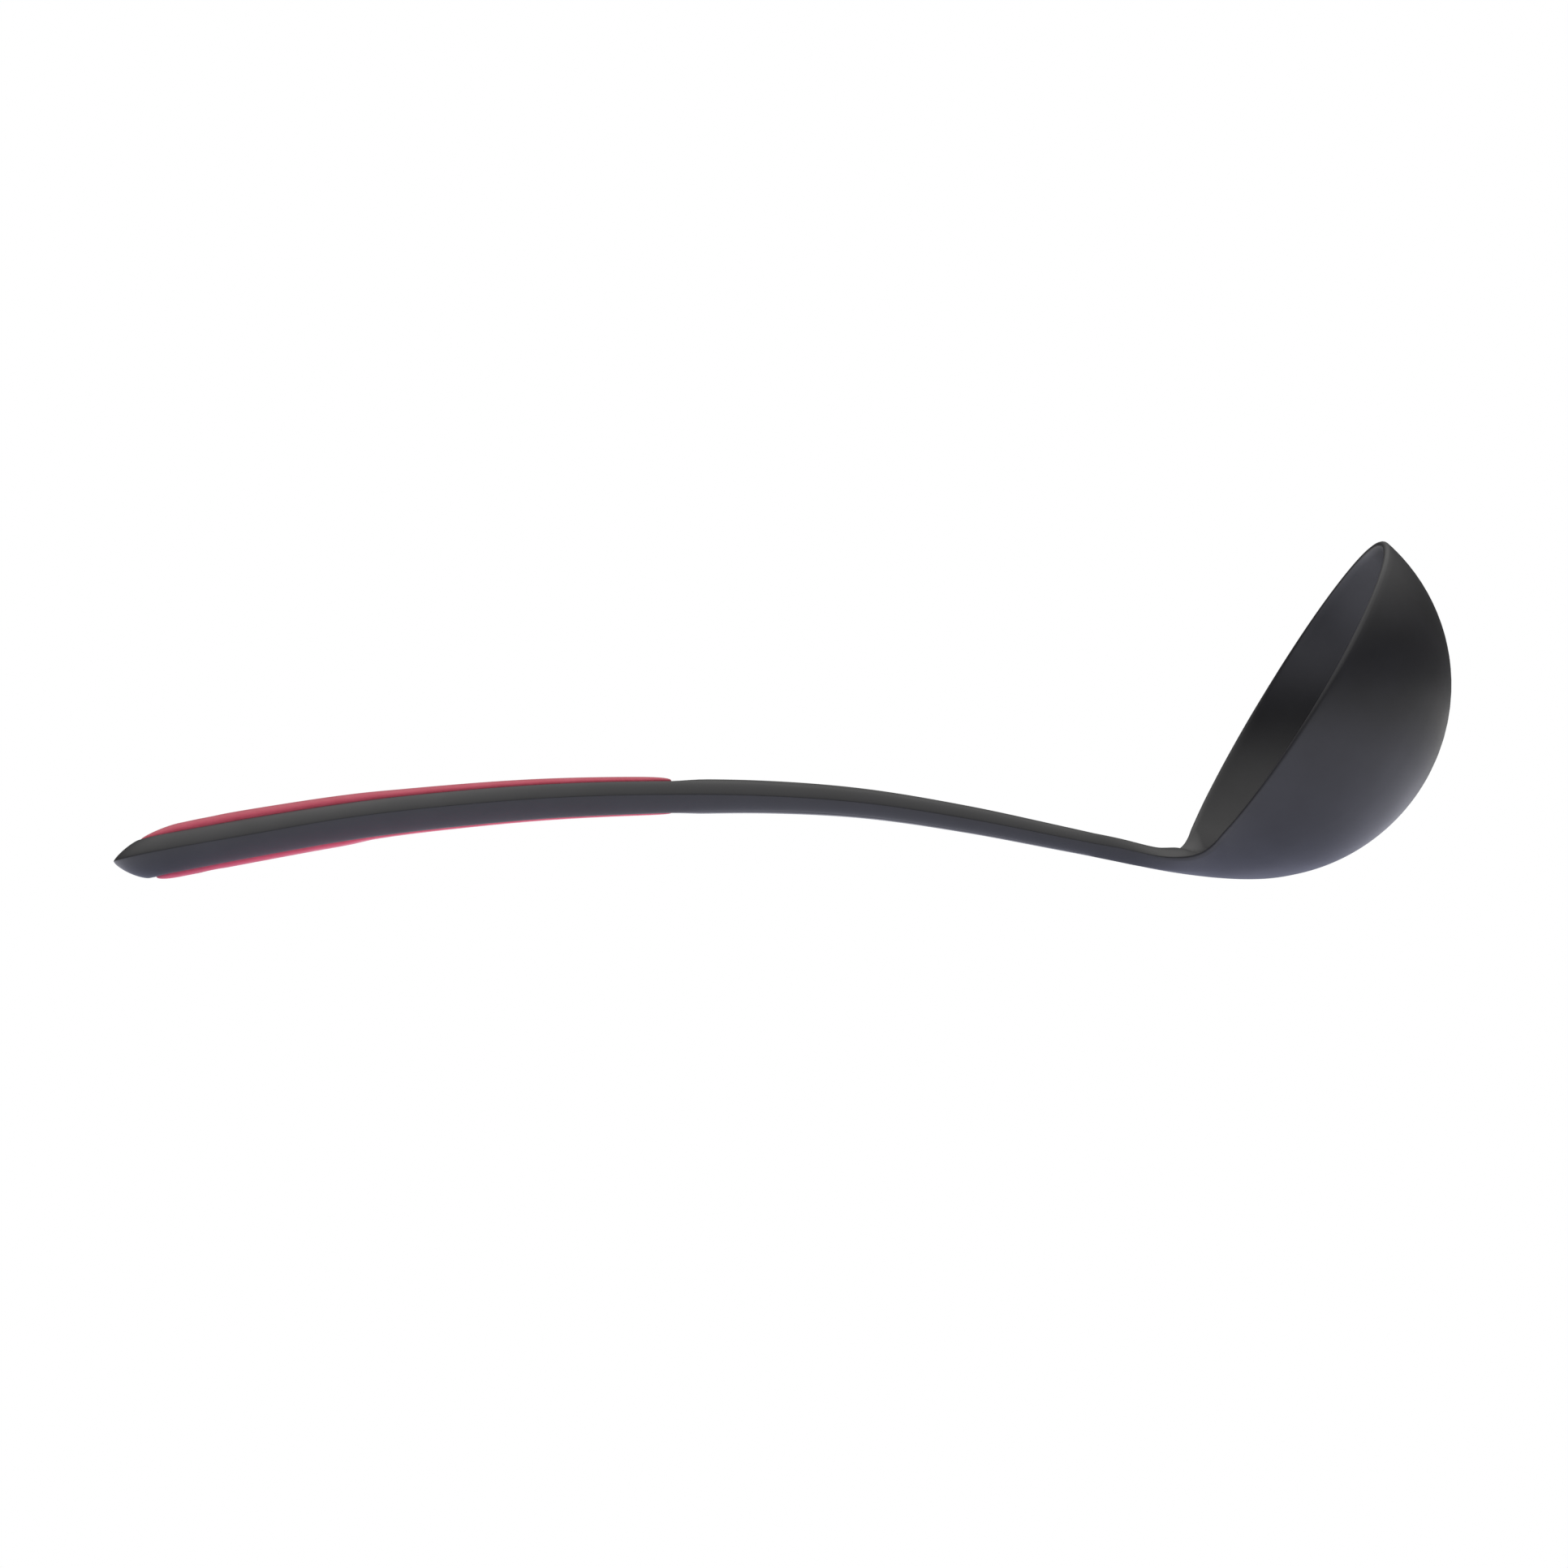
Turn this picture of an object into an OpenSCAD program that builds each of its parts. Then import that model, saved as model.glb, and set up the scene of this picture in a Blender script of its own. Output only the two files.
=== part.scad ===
// Soup ladle: a nylon bowl on a long arched handle, with a soft panel let into
// the handle's top and another into its underside, and a hole to hang it by.
// It lies on a table, on the bottom of its bowl and the end of its handle.
// The table is z = 0, the handle points along -X and the bowl opens towards it.

/* [Size] */
// Length over all, from the handle's tip to the far side of the bowl
overall_length = 328.4; // [320:0.1:340]

/* [Bowl] */
// Outer radius of the ball that the bowl is cut from
bowl_radius = 47.3; // [46.5:0.1:49]
// How far the rim lies below the middle of that ball
rim_drop = 8.3; // [6.5:0.1:9.5]
// Angle between the rim's plane and upright
rim_lean = 30.3; // [29:0.1:31.5]
// Thickness of the bowl's wall
bowl_wall = 1.8; // [1.4:0.1:2.4]

/* [Handle] */
// Half of the handle's width at its widest
grip_half_width = 13.6; // [13:0.1:15]
// Half of the handle's width at the neck, where it is narrowest
neck_half_width = 6.8; // [6:0.1:8]
// Length of the rounded end, seen from above
end_length = 17; // [15:0.5:20]
// Radius of the fillets that join the neck to the bowl, seen from above
shoulder_radius = 30; // [27:0.5:32]
// Share of the half width that the upper slope takes
upper_slope = 0.42; // [0.38:0.01:0.46]
// Share of the half width that the lower slope takes
lower_slope = 0.5; // [0.46:0.01:0.52]

/* [Panels] */
// Distance from the tip at which both panels end, at the neck's side
panel_end = 137.3; // [130:0.1:142]
// Thickness of each panel below the edge of its pocket
panel_depth = 1.5; // [1:0.1:1.8]
// Flat ledge of the handle round the top panel
upper_ledge = 0.6; // [0.3:0.1:0.8]
// Flat ledge of the handle round the underside panel
lower_ledge = 1; // [0.6:0.1:1.2]

/* [Hanging hole] */
// Radius of the hole
hole_radius = 3.5; // [3:0.1:4.5]
// Distance from the tip to the middle of the hole
hole_place = 24; // [20:0.5:34]

/* [Hidden] */

nylon = "#2e2e32";
soft_red = "#b23a4b";

// Places that follow from the sizes above
tip_x = -overall_length / 2;
ball_x = overall_length / 2 - bowl_radius;
ball_z = bowl_radius;
rim_radius = sqrt(pow(bowl_radius, 2) - pow(rim_drop, 2));
opening = [-cos(rim_lean), 0, sin(rim_lean)];
uphill = [sin(rim_lean), 0, cos(rim_lean)];
rim_centre = [ball_x, 0, ball_z] - rim_drop * opening;
root_x = rim_centre[0] - rim_radius * uphill[0];

// The curves below are stated for a handle of this length, from its tip to
// the rim's lowest point, and are stretched to the length it really has.
stated_run = 265;
stretch = (root_x - tip_x) / stated_run;
shoulder_start = 241.6;

// [distance from the tip, height above the table] of the handle's widest edge
edge_height = [[0, 4.4], [12, 7], [35, 11.1], [60, 15.4], [85, 18.3], [110, 20.2],
    [135, 20.9], [160, 20.6], [185, 18.8], [210, 15], [235, 10.1], [250, 7.2]];
// [distance, rise of the upper slope above that edge]
slope_rise = [[17, 4], [35, 4.1], [60, 3.7], [110, 3.4], [135, 3.3],
    [185, 3], [235, 2.4], [250, 2]];
// [distance, fall of the lower slope below that edge]
slope_fall = [[17, 5.9], [35, 5.6], [60, 5.5], [110, 5], [135, 4.6],
    [160, 3.8], [185, 3.3], [235, 3], [250, 3.2]];
// [distance, half width], from the end of the rounded tip to the neck
half_width = [[17, grip_half_width - 0.2], [40, grip_half_width], [70, grip_half_width - 0.9],
    [100, grip_half_width - 2.4], [135, neck_half_width + 2.4], [170, neck_half_width + 1],
    [205, neck_half_width + 0.2], [225, neck_half_width], [241.6, neck_half_width + 0.3]];
// [distance, crown of the neck's top and belly beyond its slopes]
neck_crown = [[17, 0], [136, 0], [146, 0.5], [200, 0.5], [240, 0.3], [250, 0]];
// [distance, height of the top panel's crown above its edge]
top_crown = [[17, 2.15], [26, 2.35], [40, 2.3], [60, 2.1], [72, 1.8], [100, 1.5], [130, 1.1], [138, 1]];
// [distance, depth of the underside panel's crown below its edge]
underside_crown = [[17, 1.25], [50, 1.2], [58, 1.1], [64, 0.65], [90, 0.5], [138, 0.4]];
// [angle round a shoulder's fillet, height of its edge]
shoulder_edge = [[0, 8.8], [10, 7.9], [19, 6.9], [29, 5.8], [36, 5.4], [42, 5.4], [48, 5.8], [55, 7.1],
    [63, 9.3], [70, 11.4]];
// [angle round a shoulder's fillet, rise of the neck's top, which rolls over into the bowl]
shoulder_rise = [[0, 2.2], [10, 2.1], [19, 2.2], [29, 2.3], [38, 2.1], [45, 1.7], [51, 0], [60, -4.2], [70, -8.4]];
// [distance, height above the table] of the middle of the underside, from neck to bowl
root_floor = [[241, 6], [246, 4.9], [252, 3.4], [258, 2.2], [264, 1.25], [270, 0.52], [276, 0.08], [282, 0]];
// [distance, half width] of the part of the root that is hidden in the bowl's wall
root_width = [[271, 25.5], [273.5, 22], [276, 16], [278.5, 8]];

slope_power = 1.3; // 1 is a flat slope, 2 an ellipse
crown_power = 3;
top_nose_power = 1.5; // the crowns' powers at the tip
underside_nose_power = 2.2;

// ---- Curves ----
function mix(a, b, t) = a + (b - a) * t;
function knot_slope(k, i) =
    let (lo = max(i - 1, 0), hi = min(i + 1, len(k) - 1))
    (k[hi][1] - k[lo][1]) / (k[hi][0] - k[lo][0]);
function knot_before(k, p, i = 0) = i >= len(k) - 2 || p < k[i + 1][0] ? i : knot_before(k, p, i + 1);
// Smooth curve through [place, value] knots, read at place p
function along(k, p) =
    let (i = knot_before(k, p), h = k[i + 1][0] - k[i][0], t = (p - k[i][0]) / h,
         t2 = t * t, t3 = t2 * t)
    (2 * t3 - 3 * t2 + 1) * k[i][1] + (t3 - 2 * t2 + t) * h * knot_slope(k, i)
    + (3 * t2 - 2 * t3) * k[i + 1][1] + (t3 - t2) * h * knot_slope(k, i + 1);
// Share of its full height that a slope has reached at share t of its run
function bulge(t, power) = t >= 1 ? 1 : t <= 0 ? 0 : pow(1 - pow(1 - t, power), 1 / power);

// ---- Stations: sections of the handle, fanned round its end and then square across ----
// A station is [edge point, edge height, middle's x, middle's edge height, rise, fall, crown, belly],
// where belly is 0 for sloped flanks and 1 for an underside that follows the bowl.
function end_edge(a) = [end_length * (1 - cos(a)), (grip_half_width - 0.2) * sin(a)];
function station(edge, middle) =
    [edge, along(edge_height, edge[0]), middle, along(edge_height, middle),
     along(slope_rise, middle), along(slope_fall, middle), along(neck_crown, middle), 0];
function shoulder(a) =
    let (d = shoulder_start + shoulder_radius * sin(a), edge = along(shoulder_edge, a))
    [[d, neck_half_width + 0.3 + shoulder_radius * (1 - cos(a))], edge, d, edge,
     along(shoulder_rise, a), edge - along(root_floor, d), 0, min(1, a / 80)];
function root(k) =
    let (edge = ball_floor(k[0], k[1]) + bowl_wall / 3)
    [k, edge, k[0], edge, ball_floor(k[0], 0) + bowl_wall / 2 - edge, edge - along(root_floor, k[0]), 0, 1];
// Height of the ball's underside at a distance and a half width
function ball_floor(d, y) =
    ball_z - sqrt(pow(bowl_radius, 2) - pow(tip_x + stretch * d - ball_x, 2) - pow(y, 2));

end_step = 15;
end_stations = [for (a = [0:end_step:90 - end_step]) station(end_edge(a), end_length)];
grip_stations = [for (d = [end_length:6:shoulder_start - 3]) station([d, along(half_width, d)], d)];
shoulder_stations = [for (a = [0:5:70]) shoulder(a)];
root_stations = [for (k = root_width) root(k)];
handle_stations = concat(end_stations, grip_stations, shoulder_stations, root_stations);

// ---- Rings: half a section, from the top's middle round the edge to the belly's middle ----
upper_shares = [1, 0.7, 0.5, upper_slope, 0.32, 0.22, 0.12, 0.04, 0];
lower_shares = [0.04, 0.12, 0.22, 0.34, lower_slope, 0.6, 0.8, 1];
function spot(s, share, z) =
    [tip_x + stretch * mix(s[0][0], s[2], share), s[0][1] * (1 - share), z];
function base(s, share) = mix(s[1], s[3], share);
function dish(share) = 1 - pow(1 - share, 2);
// 0 at the tip and 1 from the widest part of the rounded end on
function past_nose(s) = min(1, s[0][0] / end_length);
function steep_slope(s) = upper_slope * mix(0.83, 1, past_nose(s)); // the tip's upper slope is shorter
function upper_z(s, share) =
    base(s, share) + s[4] * mix(bulge(share / steep_slope(s), slope_power), dish(share), s[7])
    + s[6] * bulge((share - upper_slope) / (1 - upper_slope), 2);
function sloped_z(s, share) =
    base(s, share) - s[5] * bulge(share / lower_slope, slope_power)
    - s[6] * bulge((share - lower_slope) / (1 - lower_slope), 2);
function bowl_shaped_z(s, share) =
    let (d = s[0][0], y = s[0][1])
    ball_floor(d, y * (1 - share))
    - mix(ball_floor(d, y) - s[1], ball_floor(d, 0) - s[1] + s[5], dish(share));
function lower_z(s, share) =
    s[7] == 0 ? sloped_z(s, share) : mix(sloped_z(s, share), bowl_shaped_z(s, share), s[7]);
function handle_ring(s) = concat(
    [for (share = upper_shares) spot(s, share, upper_z(s, share))],
    [for (share = lower_shares) spot(s, share, lower_z(s, share))]);

// Closed solid through half rings mirrored across y = 0. The first ring lies in
// that plane, and so does the last one if the far end is closed to a point.
module skin(rings, pointed) {
    last = len(rings) - 1;
    half = len(rings[0]) - 1;
    round = 2 * half;
    function index(i, j) =
        let (k = j % round, folded = k <= half ? k : round - k)
        i == 0 ? folded : half + 1 + (i - 1) * round + (pointed && i == last ? folded : k);
    function whole(ring) = concat(ring, [for (j = [half - 1:-1:1]) [ring[j][0], -ring[j][1], ring[j][2]]]);
    points = concat(rings[0], [for (i = [1:last]) each (pointed && i == last ? rings[i] : whole(rings[i]))]);
    sides = [for (i = [0:last - 1], j = [0:round - 1])
        each [[index(i, j), index(i, j + 1), index(i + 1, j + 1)],
              [index(i, j), index(i + 1, j + 1), index(i + 1, j)]]];
    cap = pointed ? [] : [[for (j = [0:round - 1]) index(last, j)]];
    polyhedron(points, concat(sides, cap), convexity = 6);
}

// ---- Panels ----
far_round = 9; // length of each panel's rounded end, at the neck's side
panel_shares = [1, 0.75, 0.5, 0.3, 0.14, 0.04, 0];
// Share of the section at which a panel's outline lies, counted from the handle's edge
function outline_share(s, slope, ledge) =
    let (reach = norm([s[0][0] - s[2], s[0][1]]), wide = slope * reach + ledge,
         left = panel_end - s[2],
         pinch = left >= far_round ? 1 : left <= 0 ? 0 : sqrt(1 - pow(1 - left / far_round, 2)))
    1 - (1 - wide / reach) * pinch;
// side is 1 for the panel in the top and -1 for the one in the underside
function panel_ring(s, side, slope, ledge, crown) =
    let (out = side > 0 ? outline_share(s, steep_slope(s), ledge)
             : outline_share(s, slope, ledge * mix(1.85, 1, past_nose(s))),
         power = mix(side > 0 ? top_nose_power : underside_nose_power, crown_power, past_nose(s)),
         level = side > 0 ? s[4] : s[5],
         tall = along(crown, s[2]) * (s[2] > panel_end - far_round
             ? bulge((panel_end - s[2]) / far_round, 3) : 1))
    concat(
        [for (t = panel_shares) let (share = mix(out, 1, t))
            spot(s, share, base(s, share) + side * (level + tall * bulge(t, power)))],
        [for (t = [0, 0.5, 1]) let (share = mix(out, 1, t))
            spot(s, share, base(s, share) + side * (level - panel_depth))]);
panel_places = [for (t = [0:18]) mix(end_length, panel_end - far_round, t / 18)];
far_places = [for (a = [15:15:90]) panel_end - far_round * (1 - sin(a))];
panel_stations = concat(end_stations,
    [for (d = concat(panel_places, far_places)) station([d, along(half_width, d)], d)]);
module panel(side, slope, ledge, crown) {
    skin([for (s = panel_stations) let (ring = panel_ring(s, side, slope, ledge, crown))
        side > 0 ? ring : [for (j = [len(ring) - 1:-1:0]) ring[j]]], true);
}
module top_panel() panel(1, upper_slope, upper_ledge, top_crown);
module underside_panel() panel(-1, lower_slope, lower_ledge, underside_crown);

module hanging_hole() {
    translate([tip_x + stretch * hole_place, 0, -1])
        cylinder(r = hole_radius, h = 2 * bowl_radius, $fn = 64);
}

// ---- Bowl: a cap of a hollow ball with a rounded rim ----
arc_step = 3;
function arc(r, from, to) = let (n = ceil(abs(to - from) / arc_step))
    [for (i = [0:n]) let (a = mix(from, to, i / n)) [r * cos(a), r * sin(a)]];
rim_angle = -asin(rim_drop / bowl_radius);
bowl_section = concat(
    arc(bowl_radius, -90, rim_angle - asin(bowl_wall / 2 / bowl_radius)),
    [for (a = [30:30:150])
        let (middle = (bowl_radius - bowl_wall / 2) * [cos(rim_angle), sin(rim_angle)]
                 - bowl_wall / 2 * [-sin(rim_angle), cos(rim_angle)])
        middle + bowl_wall / 2 * [cos(a + rim_angle), sin(a + rim_angle)]],
    arc(bowl_radius - bowl_wall, rim_angle - asin(bowl_wall / 2 / bowl_radius), -90));

// The part of the ball on the bowl's side of the rim
module capped_ball() {
    intersection() {
        sphere(r = bowl_radius, $fn = 128);
        translate([0, 0, -rim_drop - bowl_radius]) cube(2 * bowl_radius, center = true);
    }
}
module place_bowl() translate([ball_x, 0, ball_z]) rotate([0, rim_lean - 90, 0]) children();

module bowl() {
    color(nylon) place_bowl() rotate_extrude($fn = 128) polygon(bowl_section);
}

module handle() {
    color(nylon) difference() {
        skin([for (s = handle_stations) handle_ring(s)], false);
        top_panel();
        underside_panel();
        hanging_hole();
        place_bowl() capped_ball();
    }
}

module top_grip_panel() {
    color(soft_red) difference() {
        top_panel();
        hanging_hole();
    }
}

module underside_grip_panel() {
    color(soft_red) difference() {
        underside_panel();
        hanging_hole();
    }
}

bowl();
handle();
top_grip_panel();
underside_grip_panel();
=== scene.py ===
import math

import bmesh
import bpy
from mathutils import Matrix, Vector


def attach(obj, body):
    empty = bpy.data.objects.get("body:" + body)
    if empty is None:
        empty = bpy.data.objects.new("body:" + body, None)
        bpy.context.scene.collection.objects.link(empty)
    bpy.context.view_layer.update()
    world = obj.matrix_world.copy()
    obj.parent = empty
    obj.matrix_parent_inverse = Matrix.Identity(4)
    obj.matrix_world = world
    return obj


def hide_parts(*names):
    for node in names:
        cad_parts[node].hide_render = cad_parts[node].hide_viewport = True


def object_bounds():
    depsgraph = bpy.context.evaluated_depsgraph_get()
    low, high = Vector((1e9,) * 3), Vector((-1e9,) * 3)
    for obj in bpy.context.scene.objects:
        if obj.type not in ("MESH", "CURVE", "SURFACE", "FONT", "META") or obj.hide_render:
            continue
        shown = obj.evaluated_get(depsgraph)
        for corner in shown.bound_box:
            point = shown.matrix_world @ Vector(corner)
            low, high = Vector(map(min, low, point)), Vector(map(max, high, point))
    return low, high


# A soup ladle lying on a table: a black nylon moulding, with a red grip
# panel let into the top of its handle and another into the underside.

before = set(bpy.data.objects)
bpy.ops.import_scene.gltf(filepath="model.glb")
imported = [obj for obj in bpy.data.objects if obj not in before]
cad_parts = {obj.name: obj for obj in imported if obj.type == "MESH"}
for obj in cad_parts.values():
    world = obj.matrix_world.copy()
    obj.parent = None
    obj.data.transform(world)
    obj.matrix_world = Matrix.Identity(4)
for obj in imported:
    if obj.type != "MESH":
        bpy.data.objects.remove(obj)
cad_low, cad_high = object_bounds()

# ---- Camera: level, square to the ladle's side, a long arm's length away ----

camera = bpy.data.cameras.new("camera")
camera.lens = 66.55
camera.clip_start = 0.05
camera_object = bpy.data.objects.new("camera", camera)
bpy.context.scene.collection.objects.link(camera_object)
camera_object.location = (0.0009, -0.715, 0.0235)
camera_object.rotation_euler = (math.radians(90), 0, 0)
bpy.context.scene.camera = camera_object
bpy.context.scene.view_settings.view_transform = "Standard"

# ---- Bowl: a cap of a hollow ball, thin in the wall, with a rounded rim that
# isn't quite flat. It is the far end of one black nylon moulding, and every
# shape below is in millimetres until it is made a mesh.

MM = 0.001
TIP = cad_low.x / MM
BALL_RADIUS, BALL_HEIGHT, BOWL_WALL = 47.1, 47.35, 1.8
BALL_CENTRE = Vector((cad_high.x / MM - BALL_RADIUS, 0, BALL_HEIGHT))
RIM_RADIUS, RIM_LEAN = 46.2, math.radians(30.3)
RIM_CENTRE = Vector((TIP + 288.6, 0, 43.3))
# How far the rim lies below a flat one, against the angle round it in degrees
# from its lowest point. The last pair makes the curve level at the top.
RIM_DIP = [(0, -0.6), (33, -0.5), (42, -0.28), (53, -0.06), (62, 0.12), (80, 0.35),
           (104, 0.5), (140, 0.33), (180, 0), (220, 0.33)]
OPENING = Vector((-math.cos(RIM_LEAN), 0, math.sin(RIM_LEAN)))
UPHILL = Vector((math.sin(RIM_LEAN), 0, math.cos(RIM_LEAN)))
ACROSS = Vector((0, 1, 0))
SMALL_TURN = 0.01  # radians, over which the direction of an edge is taken

# How far each row of the surface lies from the edge to the middle plane. The
# first rows go round the rim; the last ones line a grip panel's pocket.
EXPOSED = [0, 0.005, 0.012, 0.022, 0.035, 0.055, 0.08, 0.11, 0.145, 0.18, 0.22,
           0.26, 0.3, 0.34, 0.38, 0.41, 0.43, 0.46, 0.49, 0.51, 0.54, 0.58, 0.62,
           0.67, 0.72, 0.77, 0.82, 0.87, 0.91, 0.95, 0.98, 1]
POCKETED = [0.001, 0.03, 0.3, 0.65, 1]
ROUNDING_ROWS = 4


def mix(a, b, t):
    return a + (b - a) * t


def ease(t):
    t = min(max(t, 0), 1)
    return t * t * (3 - 2 * t)


def along(curve, place):
    """Height of a smooth curve through its points, at one place."""
    last = len(curve) - 1
    i = next((k for k in range(last) if place < curve[k + 1][0]), last - 1)

    def lean(k):
        before, after = curve[max(k - 1, 0)], curve[min(k + 1, last)]
        return (after[1] - before[1]) / (after[0] - before[0])

    run = curve[i + 1][0] - curve[i][0]
    t = (place - curve[i][0]) / run
    return ((2 * t ** 3 - 3 * t ** 2 + 1) * curve[i][1]
            + (t ** 3 - 2 * t ** 2 + t) * run * lean(i)
            + (3 * t ** 2 - 2 * t ** 3) * curve[i + 1][1]
            + (t ** 3 - t ** 2) * run * lean(i + 1))


def crest(turn):
    """Point on the rim's edge, turned about the opening from the rim's lowest point."""
    away = ACROSS * math.sin(turn) - UPHILL * math.cos(turn)
    return RIM_CENTRE + away * RIM_RADIUS - OPENING * along(RIM_DIP, math.degrees(turn))


def wall_rows(edge, along_rim, middle, side):
    """From the rim's edge over the wall to the middle plane; side is 1 inside, -1 outside."""
    # The seat is the middle of the rim's rounding, placed so that its outer
    # shoulder passes through the edge. Each round brings it nearer its place.
    seat = edge
    for _ in range(3):
        outward = (seat - BALL_CENTRE).normalized()
        proud = along_rim.cross(outward).normalized()
        seat = edge - (proud + outward) * BOWL_WALL / 2 * math.sqrt(0.5)
    start = seat - outward * side * BOWL_WALL / 2 - BALL_CENTRE
    finish = middle - BALL_CENTRE
    rows = []
    for i, share in enumerate(EXPOSED):
        if i < ROUNDING_ROWS:
            turn = math.pi / 2 * i / ROUNDING_ROWS
            spoke = proud * math.cos(turn) - outward * side * math.sin(turn)
            rows.append(seat + spoke * BOWL_WALL / 2)
        else:
            t = (share - EXPOSED[ROUNDING_ROWS]) / (1 - EXPOSED[ROUNDING_ROWS])
            radius = mix(start.length, finish.length, ease(t))
            rows.append(BALL_CENTRE + start.normalized().slerp(finish.normalized(), t) * radius)
    return rows + [middle] * len(POCKETED)


def bowl_section(edge, along_rim, inside, outside):
    """Half a section: from the inside's middle, over the rim, to the outside's middle."""
    return (wall_rows(edge, along_rim, inside, 1)[::-1]
            + wall_rows(edge, along_rim, outside, -1)[1:])


# ---- Handle: an arched bar with a sharp edge all round, moulded in one with
# the bowl. It has a long upper slope, a rounder belly and a shallow pocket on
# each side for a grip panel, and at the neck it rolls over into the bowl.

GRIP_HALF_WIDTH, END_HALF_WIDTH = 13.6, 13.4
NECK_HALF_WIDTH, SHOULDER_HALF_WIDTH = 6.8, 7.1
END_LENGTH, PANEL_END, FAR_ROUND = 17, 137.3, 9
SHOULDER_START, SHOULDER_RADIUS, SHOULDER_TURN = 241.64, 30, math.radians(70)
UPPER_SLOPE, LOWER_SLOPE = 0.42, 0.5  # shares of the half width
TIP_SLOPE = 0.83  # the upper slope is this much shorter at the tip
UPPER_LEDGE, LOWER_LEDGE = 0.6, 1.0
TIP_LEDGE = 1.85  # the lower ledge is this much wider at the tip
PANEL_DEPTH = 1.5
SLOPE_POWER, ELLIPSE = 1.3, 2

# Every curve below runs against the distance from the tip.
EDGE_HEIGHT = [(0, 4.4), (12, 7), (35, 11.1), (60, 15.4), (85, 18.3), (110, 20.2),
               (135, 20.9), (160, 20.6), (185, 18.8), (210, 15), (235, 10.1), (250, 7.2)]
SLOPE_RISE = [(17, 4), (35, 4.1), (60, 3.7), (110, 3.4), (135, 3.3), (185, 3),
              (235, 2.4), (250, 2)]
SLOPE_FALL = [(17, 5.9), (35, 5.6), (60, 5.5), (110, 5), (135, 4.6), (160, 3.8),
              (185, 3.3), (235, 3), (250, 3.2)]
HALF_WIDTH = [(17, END_HALF_WIDTH), (40, GRIP_HALF_WIDTH), (70, GRIP_HALF_WIDTH - 0.9),
              (100, GRIP_HALF_WIDTH - 2.4), (135, NECK_HALF_WIDTH + 2.4),
              (170, NECK_HALF_WIDTH + 1), (205, NECK_HALF_WIDTH + 0.2),
              (225, NECK_HALF_WIDTH), (241.64, SHOULDER_HALF_WIDTH)]
NECK_CROWN = [(17, 0), (136, 0), (146, 0.5), (200, 0.5), (240, 0.3), (250, 0)]
# The middle of the lip as it rolls over into the bowl, which it leaves at its
# last point but one, and of the underside below it.
LIP = [(241.64, 11.35), (245, 10.7), (249, 9.82), (252, 9.05), (255.2, 8.25), (258.4, 7.65),
       (260.5, 7.5), (262.5, 7.35), (264, 6.9), (265.5, 6), (267, 5.1), (268.5, 4.3),
       (270, 3.65), (272, 3.02), (274, 2.64)]
ROOT_FLOOR = [(241.64, 5.48), (246, 4.6), (252, 3.38), (258, 2.2), (264, 1.25), (270, 0.52),
              (273, 0.26), (276, 0.08), (279, 0), (282, 0.05), (285, 0.25), (288, 0.65),
              (291, 1.25), (294, 1.98)]

# Height of the shoulder's edge, against the angle of its fillet in degrees,
# and how far the surface swells beside it, where the lip turns over.
SHOULDER_EDGE = [(0, 8.8), (10, 7.9), (19, 6.9), (29, 5.8), (36, 5.4), (42, 5.4), (48, 5.7),
                 (55, 6.6), (60, 7.75), (65, 9.2), (70, 10.9), (77, 13)]
SHOULDER_HUMP = [(0, 0), (25, 0), (38, 0.6), (46, 1.4), (54, 1.4), (62, 0.6), (70, 0)]
# Angles of the fillet, in degrees, over which the neck's section becomes the bowl's.
BLEND_START, BLEND_END = 15, 65

# Where the rim takes over from the shoulder, and the lean of the bowl's middle line there.
RIM_START = math.radians(35.4)
SHOULDER_LEAN = (math.pi / 2 - RIM_LEAN + math.asin(
    (BALL_CENTRE.x - TIP - SHOULDER_START - SHOULDER_RADIUS * SHOULDER_TURN)
    / (BALL_RADIUS - BOWL_WALL)))


def bulge(t, power):
    """Share of its height that a rounded slope has reached; power 1 is flat, 2 an ellipse."""
    t = min(max(t, 0), 1)
    return (1 - (1 - t) ** power) ** (1 / power)


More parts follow.
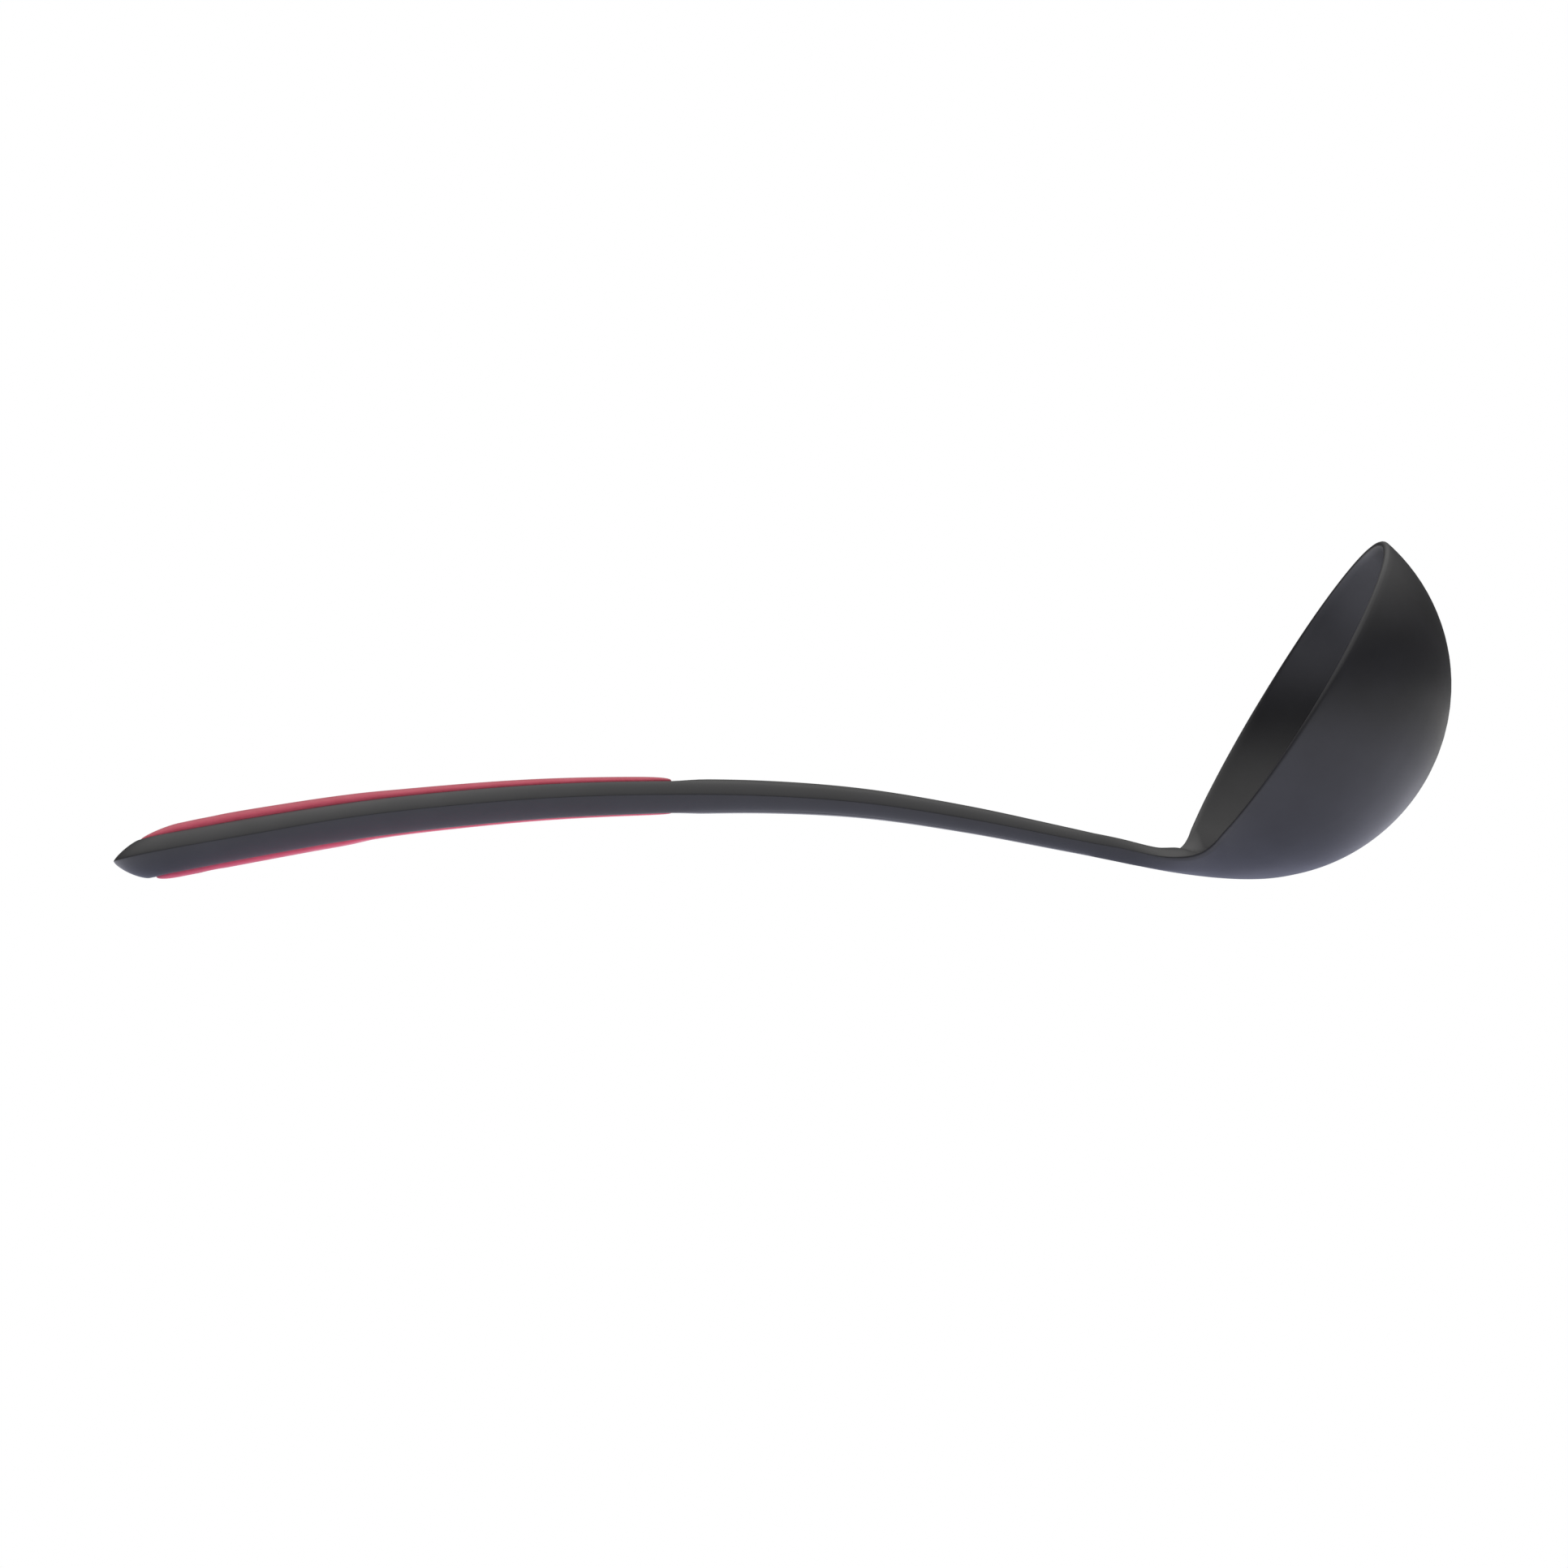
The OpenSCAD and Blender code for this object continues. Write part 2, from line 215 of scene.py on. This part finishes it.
class Station:
    """One section of the handle, from a point on its edge in to its middle line."""

    def __init__(self, distance, width, middle, edge, middle_edge, rise, fall, crown=0.0):
        self.distance, self.width, self.middle = distance, width, middle
        self.edge, self.middle_edge = edge, middle_edge
        self.rise, self.fall, self.crown = rise, fall, crown
        self.past_nose = min(1, distance / END_LENGTH)
        self.upper_slope = UPPER_SLOPE * mix(TIP_SLOPE, 1, self.past_nose)

    def base(self, share):
        return mix(self.edge, self.middle_edge, share)

    def top(self, share):
        past_slope = (share - UPPER_SLOPE) / (1 - UPPER_SLOPE)
        return (self.base(share) + self.rise * bulge(share / self.upper_slope, SLOPE_POWER)
                + self.crown * bulge(past_slope, ELLIPSE))

    def belly(self, share):
        past_slope = (share - LOWER_SLOPE) / (1 - LOWER_SLOPE)
        return (self.base(share) - self.fall * bulge(share / LOWER_SLOPE, SLOPE_POWER)
                - self.crown * bulge(past_slope, ELLIPSE))

    def point(self, share, height):
        return Vector((TIP + mix(self.distance, self.middle, share), self.width * (1 - share),
                       height))

    def outline(self, side, seam=0):
        """Share of the section at which a panel starts; side is 1 for the top one, -1 below."""
        reach = math.hypot(self.distance - self.middle, self.width)
        slope = self.upper_slope if side > 0 else LOWER_SLOPE
        ledge = UPPER_LEDGE if side > 0 else LOWER_LEDGE * mix(TIP_LEDGE, 1, self.past_nose)
        left = min(max((PANEL_END - self.middle) / FAR_ROUND, 0), 1)
        return 1 - (1 - slope - (seam + ledge) / reach) * math.sqrt(1 - (1 - left) ** 2)

    def half_section(self):
        """Points from the top's middle, round the edge, to the underside's middle."""
        points = []
        for height, side in ((self.top, 1), (self.belly, -1)):
            start = self.outline(side)
            depth = PANEL_DEPTH if start < 1 else 0
            half = [self.point(start * t, height(start * t)) for t in EXPOSED]
            for t in POCKETED:
                share = mix(start, 1, t)
                half.append(self.point(share, height(share) - side * depth))
            points += half[::-1] if side > 0 else half[1:]
        return points


def across(distance, width, middle):
    return Station(distance, width, middle, along(EDGE_HEIGHT, distance),
                   along(EDGE_HEIGHT, middle), along(SLOPE_RISE, middle),
                   along(SLOPE_FALL, middle), along(NECK_CROWN, middle))


def round_end(angle):
    return across(END_LENGTH * (1 - math.cos(angle)), END_HALF_WIDTH * math.sin(angle),
                  END_LENGTH)


def straight(distance):
    return across(distance, along(HALF_WIDTH, distance), distance)


def plain_fillet(turn):
    return Vector((TIP + SHOULDER_START + SHOULDER_RADIUS * math.sin(turn),
                   SHOULDER_HALF_WIDTH + SHOULDER_RADIUS * (1 - math.cos(turn)),
                   along(SHOULDER_EDGE, math.degrees(turn))))


def fillet(turn):
    """Point on the edge of the shoulder, which leaves the neck and ends on the rim's crest."""
    short = crest(RIM_START) - plain_fillet(SHOULDER_TURN)
    return plain_fillet(turn) + short * ease(turn / SHOULDER_TURN)


def ball_underside(distance, radius):
    return BALL_CENTRE.z - math.sqrt(radius ** 2 - (TIP + distance - BALL_CENTRE.x) ** 2)


def shoulder_section(turn):
    """A neck's section that becomes a section of the bowl as the fillet turns."""
    degrees = math.degrees(turn)
    middle = SHOULDER_START + SHOULDER_RADIUS * turn
    rolling = middle < LIP[-2][0]
    lip = along(LIP, middle) if rolling else ball_underside(middle, BALL_RADIUS - BOWL_WALL)
    inside = Vector((TIP + middle, 0, lip))
    outside = Vector((TIP + middle, 0, along(ROOT_FLOOR, middle)))
    edge = fillet(turn)
    along_edge = fillet(turn + SMALL_TURN) - fillet(turn - SMALL_TURN)
    neck = Station(edge.x - TIP, edge.y, middle, edge.z, edge.z, inside.z - edge.z,
                   edge.z - outside.z)
    bowl = bowl_section(edge, along_edge, inside, outside)
    share_of_bowl = ease((degrees - BLEND_START) / (BLEND_END - BLEND_START))
    points = [a.lerp(b, share_of_bowl) for a, b in zip(neck.half_section(), bowl)]
    for share, point in zip(EXPOSED[::-1], points[len(POCKETED):]):
        point.z += along(SHOULDER_HUMP, degrees) * math.sin(math.pi * share)
    return points


def rim_section(turn):
    """A section of the bowl, from its rim to its middle plane or, past its widest, its pole."""
    lean = SHOULDER_LEAN * max(math.pi / 2 - turn, 0) / (math.pi / 2 - RIM_START)
    toward = -OPENING * math.cos(lean) - UPHILL * math.sin(lean)
    inside = BALL_CENTRE + toward * (BALL_RADIUS - BOWL_WALL)
    outside = BALL_CENTRE + toward * BALL_RADIUS
    if outside.x - TIP < ROOT_FLOOR[-1][0]:
        outside.z = along(ROOT_FLOOR, outside.x - TIP)
    along_rim = crest(turn + SMALL_TURN) - crest(turn - SMALL_TURN)
    return bowl_section(crest(turn), along_rim, inside, outside)


END_STEPS, GRIP_STEPS, FAR_STEPS, NECK_STEPS, SHOULDER_STEPS, RIM_STEPS = 24, 48, 12, 46, 38, 92

end_stations = [round_end(math.radians(90 * i / END_STEPS)) for i in range(END_STEPS)]
grip_stations = [straight(mix(END_LENGTH, PANEL_END - FAR_ROUND, i / GRIP_STEPS))
                 for i in range(GRIP_STEPS)]
far_stations = [straight(PANEL_END - FAR_ROUND * (1 - math.sin(math.radians(90 * i / FAR_STEPS))))
                for i in range(FAR_STEPS)]
neck_stations = [straight(mix(PANEL_END, SHOULDER_START, i / NECK_STEPS))
                 for i in range(NECK_STEPS)]
shoulder = [shoulder_section(SHOULDER_TURN * i / SHOULDER_STEPS) for i in range(SHOULDER_STEPS)]
rim = [rim_section(mix(RIM_START, math.pi, i / RIM_STEPS)) for i in range(RIM_STEPS + 1)]

# Points this near are one point, and points this near the middle plane lie in it.
SAME_POINT, IN_PLANE, NO_LENGTH = 0.004 * MM, 0.002 * MM, 0.001 * MM


def skin(name, sections):
    """A closed piece through half sections, mirrored across the ladle's middle plane."""
    shape = bmesh.new()
    rows, columns = len(sections) - 1, len(sections[0]) - 1
    bmesh.ops.create_grid(shape, x_segments=rows, y_segments=columns, size=1)
    for vert in shape.verts:
        i = round((vert.co.x + 1) / 2 * rows)
        j = round((vert.co.y + 1) / 2 * columns)
        vert.co = sections[i][j] * MM
    bmesh.ops.remove_doubles(shape, verts=shape.verts, dist=SAME_POINT)
    for vert in shape.verts:
        if abs(vert.co.y) < IN_PLANE:
            vert.co.y = 0
    bmesh.ops.mirror(shape, geom=shape.verts[:] + shape.edges[:] + shape.faces[:], axis="Y",
                     merge_dist=IN_PLANE)
    bmesh.ops.holes_fill(shape, edges=[edge for edge in shape.edges if edge.is_boundary])
    bmesh.ops.dissolve_degenerate(shape, edges=shape.edges, dist=NO_LENGTH)
    bmesh.ops.recalc_face_normals(shape, faces=shape.faces)
    return new_piece(name, shape)


def new_piece(name, shape):
    mesh = bpy.data.meshes.new(name)
    shape.to_mesh(mesh)
    shape.free()
    mesh.shade_smooth()
    piece = bpy.data.objects.new(name, mesh)
    bpy.context.scene.collection.objects.link(piece)
    return piece


handle = [station.half_section()
          for station in end_stations + grip_stations + far_stations + neck_stations]
moulding = skin("bowl_and_handle", handle + shoulder + rim)
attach(moulding, "root")
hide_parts("bowl", "handle")


def hex_colour(code):
    """An sRGB hex value as linear red, green, blue and alpha."""
    channels = [int(code[i:i + 2], 16) / 255 for i in (1, 3, 5)]
    return tuple(c / 12.92 if c <= 0.04045 else ((c + 0.055) / 1.055) ** 2.4
                 for c in channels) + (1,)


def add_node(tree, kind, settings=None, **links):
    """Adds a node: settings go to its properties, links to its sockets as values or outputs.

    A socket goes by its name, or by an underscore and its number where names repeat.
    """
    node = tree.nodes.new(kind)
    for name, value in (settings or {}).items():
        setattr(node, name, value)
    for name, value in links.items():
        key = int(name[1:]) if name[0] == "_" else name.replace("_", " ")
        if isinstance(value, bpy.types.NodeSocket):
            tree.links.new(value, node.inputs[key])
        else:
            node.inputs[key].default_value = value
    return node


def new_material(name):
    material = bpy.data.materials.new(name)
    material.use_nodes = True
    material.node_tree.nodes.clear()
    return material, material.node_tree


def ramp(tree, value, low, high, colour_low, colour_high):
    node = add_node(tree, "ShaderNodeValToRGB", Fac=value)
    for element, position, colour in zip(node.color_ramp.elements, (low, high),
                                         (colour_low, colour_high)):
        element.position, element.color = position, colour
    return node.outputs["Color"]


# A noise's values lie nearly all between these two.
NOISE_LOW, NOISE_HIGH = 0.3, 0.7


def moulded_nylon():
    """Black glass-filled nylon 66 off finely sparked steel: charcoal with a soft, wide sheen."""
    material, tree = new_material("moulded_black_nylon")
    place = add_node(tree, "ShaderNodeTexCoord").outputs["Object"]
    # Glass fibre and regrind give the black a faint cloudiness, some 12 mm across.
    cloud = add_node(tree, "ShaderNodeTexNoise", Vector=place, Scale=1 / (12 * MM), Detail=4.0,
                     Roughness=0.55).outputs["Fac"]
    colour = ramp(tree, cloud, NOISE_LOW, NOISE_HIGH, hex_colour("#1a1a1d"),
                  hex_colour("#202024"))
    # Handling polishes it a little in patches, some 25 mm across.
    handled = add_node(tree, "ShaderNodeTexNoise", Vector=place, Scale=1 / (25 * MM),
                       Detail=3.0).outputs["Fac"]
    rough = add_node(tree, "ShaderNodeMapRange", Value=handled, From_Min=NOISE_LOW,
                     From_Max=NOISE_HIGH, To_Min=0.36, To_Max=0.46).outputs["Result"]
    # Real spark grain is nearer 0.05 mm; it is drawn coarse enough to show.
    grain = add_node(tree, "ShaderNodeTexNoise", Vector=place, Scale=1 / (0.35 * MM),
                     Detail=2.0).outputs["Fac"]
    # The thick wall sinks and swells very slightly as it cools.
    sink = add_node(tree, "ShaderNodeTexNoise", Vector=place, Scale=1 / (18 * MM),
                    Detail=1.0).outputs["Fac"]
    waved = add_node(tree, "ShaderNodeBump", Strength=0.12, Distance=0.25 * MM,
                     Height=sink).outputs["Normal"]
    grained = add_node(tree, "ShaderNodeBump", Strength=0.25, Distance=0.02 * MM, Height=grain,
                       Normal=waved).outputs["Normal"]
    plastic = add_node(tree, "ShaderNodeBsdfPrincipled", Base_Color=colour, Roughness=rough,
                       IOR=1.46, Normal=grained)
    add_node(tree, "ShaderNodeOutputMaterial", Surface=plastic.outputs["BSDF"])
    return material


moulding.data.materials.append(moulded_nylon())

# ---- Grip panels: a soft elastomer moulded onto the handle and bonded in its
# pockets. The top one stands well proud at the grip, the underside one less.

# Height of each crown above its pocket's edge, against the distance from the tip.
TOP_CROWN = [(17, 2.15), (26, 2.35), (40, 2.3), (60, 2.1), (72, 1.8), (100, 1.5), (130, 1.1),
             (138, 1)]
UNDERSIDE_CROWN = [(17, 1.25), (50, 1.2), (58, 1.1), (64, 0.65), (90, 0.5), (138, 0.4)]
CROWN_POWER, TOP_NOSE_POWER, UNDERSIDE_NOSE_POWER = 3, 1.5, 2.2
SEAM = 0.05  # a gap round each panel, so that the joint line shows
CROWN_ROWS = [1, 0.86, 0.72, 0.58, 0.45, 0.34, 0.26, 0.19, 0.135, 0.09, 0.055, 0.03, 0.013,
              0.004, 0]
FLOOR_ROWS = [0, 0.03, 0.5, 1]
panel_stations = end_stations + grip_stations + far_stations + [straight(PANEL_END)]


def panel_section(station, crown, side):
    """Points from the panel's crown, round its edge, to the middle of the pocket's floor."""
    start = min(station.outline(side, SEAM), 1)
    nose_power = TOP_NOSE_POWER if side > 0 else UNDERSIDE_NOSE_POWER
    power = mix(nose_power, CROWN_POWER, station.past_nose)
    level = station.rise if side > 0 else -station.fall
    left = (PANEL_END - station.middle) / FAR_ROUND
    tall = side * along(crown, station.middle) * bulge(left, CROWN_POWER)
    points = []
    for t in CROWN_ROWS:
        share = mix(start, 1, t)
        height = station.base(share) + level + tall * bulge(t, power)
        points.append(station.point(share, height))
    for t in FLOOR_ROWS:
        share = mix(start, 1, t)
        height = station.base(share) + level - side * (PANEL_DEPTH - SEAM)
        points.append(station.point(share, height))
    return points if side > 0 else points[::-1]


def moulded_elastomer():
    """Red thermoplastic elastomer, moulded matt: its dry surface scatters light all ways."""
    material, tree = new_material("moulded_red_elastomer")
    place = add_node(tree, "ShaderNodeTexCoord").outputs["Object"]
    # The red isn't quite even where the melt flowed, in patches some 6 mm across.
    mottle = add_node(tree, "ShaderNodeTexNoise", Vector=place, Scale=1 / (6 * MM), Detail=5.0,
                      Roughness=0.6).outputs["Fac"]
    colour = ramp(tree, mottle, NOISE_LOW, NOISE_HIGH, hex_colour("#c24459"),
                  hex_colour("#cc5067"))
    # Hands leave it smoother in places, some 14 mm across.
    handled = add_node(tree, "ShaderNodeTexNoise", Vector=place, Scale=1 / (14 * MM),
                       Detail=3.0).outputs["Fac"]
    rough = add_node(tree, "ShaderNodeMapRange", Value=handled, From_Min=NOISE_LOW,
                     From_Max=NOISE_HIGH, To_Min=0.52, To_Max=0.64).outputs["Result"]
    # Its grain, like the nylon's, is drawn coarser than the real one.
    grain = add_node(tree, "ShaderNodeTexNoise", Vector=place, Scale=1 / (0.3 * MM),
                     Detail=2.0).outputs["Fac"]
    grained = add_node(tree, "ShaderNodeBump", Strength=0.3, Distance=0.02 * MM,
                       Height=grain).outputs["Normal"]
    soft = add_node(tree, "ShaderNodeBsdfPrincipled", Base_Color=colour, Roughness=rough,
                    IOR=1.5, Normal=grained, Sheen_Weight=0.1, Sheen_Roughness=0.5)
    add_node(tree, "ShaderNodeOutputMaterial", Surface=soft.outputs["BSDF"])
    return material


elastomer = moulded_elastomer()
top_grip = skin("top_grip",
                [panel_section(station, TOP_CROWN, 1) for station in panel_stations])
underside_grip = skin("underside_grip",
                      [panel_section(station, UNDERSIDE_CROWN, -1) for station in panel_stations])
for grip, node in ((top_grip, "top_grip_panel"), (underside_grip, "underside_grip_panel")):
    grip.data.materials.append(elastomer)
    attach(grip, "root")
    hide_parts(node)

# ---- Hanging hole: a plain round hole down through the grip and both panels,
# with a small rounding where it breaks out at the top and the bottom.

HOLE_PLACE, HOLE_RADIUS, HOLE_ROUNDING = 24, 3.5, 0.5
HOLE_SIDES, ROUNDING_STEPS = 64, 5
MOUTH_SINK = 0.05  # the roundings start this far below the panels' crowns
OVERSHOOT = 4  # how far the cutter stands out of the grip at either end
LEAN_RUN = 4  # the grip's lean is taken over this much to either side of the hole
MOULDING_CREASE, PANEL_CREASE = 60, 38  # degrees, past which an edge stays sharp


def swing(shape, vert, middle, angle):
    """Draws an arc from a point, turning about middle in the ladle's upright plane."""
    made = bmesh.ops.spin(shape, geom=[vert], cent=middle, axis=(0, 1, 0), angle=angle,
                          steps=ROUNDING_STEPS)
    return made["geom_last"][0]


def hole_cutter():
    """A reel: a long pin that flares where it leaves the grip's leaning faces."""
    here = straight(HOLE_PLACE)
    mouth_up = here.base(1) + here.rise + along(TOP_CROWN, HOLE_PLACE) - MOUTH_SINK
    mouth_down = here.base(1) - here.fall - along(UNDERSIDE_CROWN, HOLE_PLACE) + MOUTH_SINK
    shape = bmesh.new()
    low = shape.verts.new((HOLE_RADIUS, 0, mouth_down + HOLE_ROUNDING))
    high = shape.verts.new((HOLE_RADIUS, 0, mouth_up - HOLE_ROUNDING))
    shape.edges.new((low, high))
    for end, way in ((high, 1), (low, -1)):
        last = swing(shape, end, end.co + Vector((HOLE_ROUNDING, 0, 0)), way * math.pi / 2)
        away = bmesh.ops.extrude_vert_indiv(shape, verts=[last])["verts"][0]
        away.co.z += way * OVERSHOOT
        bmesh.ops.extrude_vert_indiv(shape, verts=[away])["verts"][0].co.x = 0
    bmesh.ops.spin(shape, geom=shape.verts[:] + shape.edges[:], cent=(0, 0, 0), axis=(0, 0, 1),
                   angle=2 * math.pi, steps=HOLE_SIDES, use_merge=True)
    bmesh.ops.remove_doubles(shape, verts=shape.verts, dist=IN_PLANE / MM)
    rise = along(EDGE_HEIGHT, HOLE_PLACE + LEAN_RUN) - along(EDGE_HEIGHT, HOLE_PLACE - LEAN_RUN)
    lean = rise / (2 * LEAN_RUN)
    for vert in shape.verts:
        x, y, z = vert.co
        vert.co = Vector((x + TIP + HOLE_PLACE, y, z + lean * x)) * MM
    bmesh.ops.recalc_face_normals(shape, faces=shape.faces)
    return new_piece("hole_cutter", shape)


def cut(piece, cutter):
    """Takes another solid out of a piece and leaves the result as plain mesh."""
    step = piece.modifiers.new("cut", "BOOLEAN")
    step.operation, step.object, step.solver = "DIFFERENCE", cutter, "EXACT"
    finished = piece.evaluated_get(bpy.context.evaluated_depsgraph_get())
    mesh = bpy.data.meshes.new_from_object(finished)
    piece.modifiers.clear()
    piece.data = mesh


cutter = hole_cutter()
for piece, crease in ((moulding, MOULDING_CREASE), (top_grip, PANEL_CREASE),
                      (underside_grip, PANEL_CREASE)):
    cut(piece, cutter)
    piece.data.set_sharp_from_angle(angle=math.radians(crease))
bpy.data.objects.remove(cutter)

# ---- Table: one plain sheet of white opal acrylic that glows like a studio's light
# table lit from below; its painted glow sends soft light up at the underside and keeps shadows
# faint.

TABLE_REACH = 6  # metres from its middle to each side
# Strength of the sheet's painted glow, and the distances from its middle at which it starts to
# fade and is gone.
UNDERGLOW_STRENGTH, UNDERGLOW_CORE, UNDERGLOW_END = 0.8, 130 * MM, 360 * MM


def table_surface():
    shape = bmesh.new()
    bmesh.ops.create_grid(shape, x_segments=1, y_segments=1, size=TABLE_REACH)
    table = new_piece("table", shape)
    material, tree = new_material("opal_acrylic")
    place = add_node(tree, "ShaderNodeTexCoord").outputs["Object"]
    fine = add_node(tree, "ShaderNodeTexNoise", Vector=place, Scale=1 / (2 * MM),
                    Detail=2.0).outputs["Fac"]
    colour = ramp(tree, fine, NOISE_LOW, NOISE_HIGH, hex_colour("#f4f4f4"),
                  hex_colour("#f7f7f7"))
    # No lamp stands below: the sheet's own emission is a cold, bluish painted glow, strongest
    # round its middle and gone by the end, and to the camera the sheet looks plain white all
    # over.
    away = add_node(tree, "ShaderNodeVectorMath", {"operation": "LENGTH"},
                    _0=place).outputs["Value"]
    painted_underglow = add_node(tree, "ShaderNodeMapRange", {"interpolation_type": "SMOOTHSTEP"},
                    Value=away, From_Min=UNDERGLOW_CORE, From_Max=UNDERGLOW_END, To_Min=UNDERGLOW_STRENGTH,
                    To_Max=0.0).outputs["Result"]
    lit = add_node(tree, "ShaderNodeBsdfPrincipled", Base_Color=colour, Roughness=0.6,
                   Emission_Color=hex_colour("#dfe2ff"), Emission_Strength=painted_underglow)
    plain = add_node(tree, "ShaderNodeEmission", Color=hex_colour("#ffffff"), Strength=1.0)
    seen = add_node(tree, "ShaderNodeLightPath").outputs["Is Camera Ray"]
    shown = add_node(tree, "ShaderNodeMixShader", Fac=seen, _1=lit.outputs["BSDF"],
                     _2=plain.outputs["Emission"])
    add_node(tree, "ShaderNodeOutputMaterial", Surface=shown.outputs["Shader"])
    table.data.materials.append(material)
    return table


table_surface()

# ---- Light: a dim studio under one large soft ceiling, against a white
# backdrop, so that the black shows soft light along its top and its foot.

CEILING, WALLS = 1.24, 0.08
CEILING_EDGE, CEILING_MIDDLE = 0.25, 0.9  # upward parts of the directions to them

world = bpy.data.worlds.new("studio")
world.use_nodes = True
studio = world.node_tree
studio.nodes.clear()
direction = add_node(studio, "ShaderNodeTexCoord").outputs["Generated"]
upward = add_node(studio, "ShaderNodeSeparateXYZ", Vector=direction).outputs["Z"]
glow = add_node(studio, "ShaderNodeMapRange", {"interpolation_type": "SMOOTHSTEP"},
                Value=upward, From_Min=CEILING_EDGE, From_Max=CEILING_MIDDLE, To_Min=WALLS,
                To_Max=CEILING).outputs["Result"]
surroundings = add_node(studio, "ShaderNodeBackground", Color=hex_colour("#fffefc"),
                        Strength=glow)
backdrop = add_node(studio, "ShaderNodeBackground", Color=hex_colour("#ffffff"), Strength=1.0)
seen = add_node(studio, "ShaderNodeLightPath").outputs["Is Camera Ray"]
shown = add_node(studio, "ShaderNodeMixShader", Fac=seen,
                 _1=surroundings.outputs["Background"], _2=backdrop.outputs["Background"])
add_node(studio, "ShaderNodeOutputWorld", Surface=shown.outputs["Shader"])
bpy.context.scene.world = world
